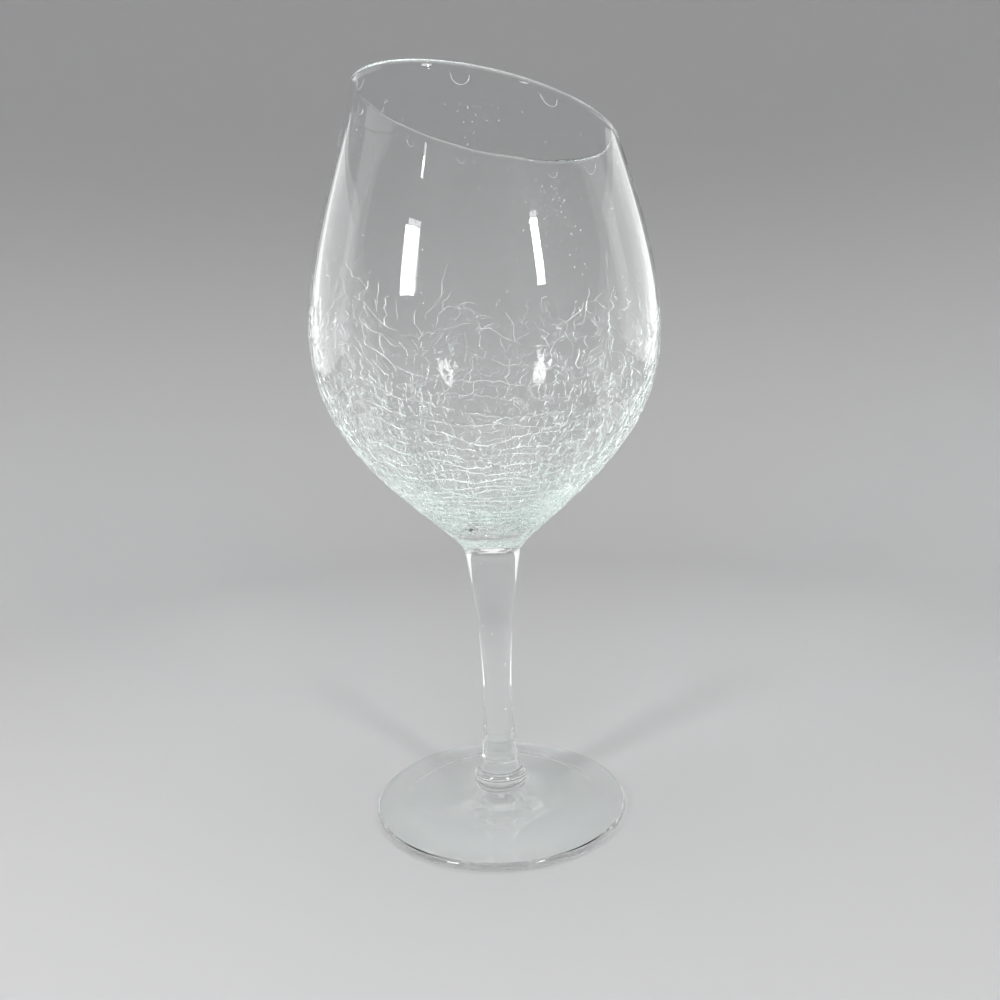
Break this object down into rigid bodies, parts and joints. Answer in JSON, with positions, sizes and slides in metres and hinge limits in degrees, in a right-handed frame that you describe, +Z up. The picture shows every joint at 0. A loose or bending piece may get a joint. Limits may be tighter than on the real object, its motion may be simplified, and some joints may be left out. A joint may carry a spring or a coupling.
{
  "type": "crackle wine glass",
  "caption": "Blown wine goblet with a slanted rim: crackled ovoid bowl on a drawn stem with a collar bead and a round foot.",
  "frame": {"origin": "middle of the foot's underside, on the table", "axes": "+Z up the stem's axis; the slanted rim is highest on the -X side and lowest on the +X side"},
  "size_m": [0.097, 0.097, 0.2061],
  "materials": {
    "clear_glass": "clear blown glass, faintly sea-green in its thick places, with pale crackle in the lower bowl"
  },
  "bodies": {
    "root": {"wine_glass": "clear_glass"}
  },
  "joints": []
}
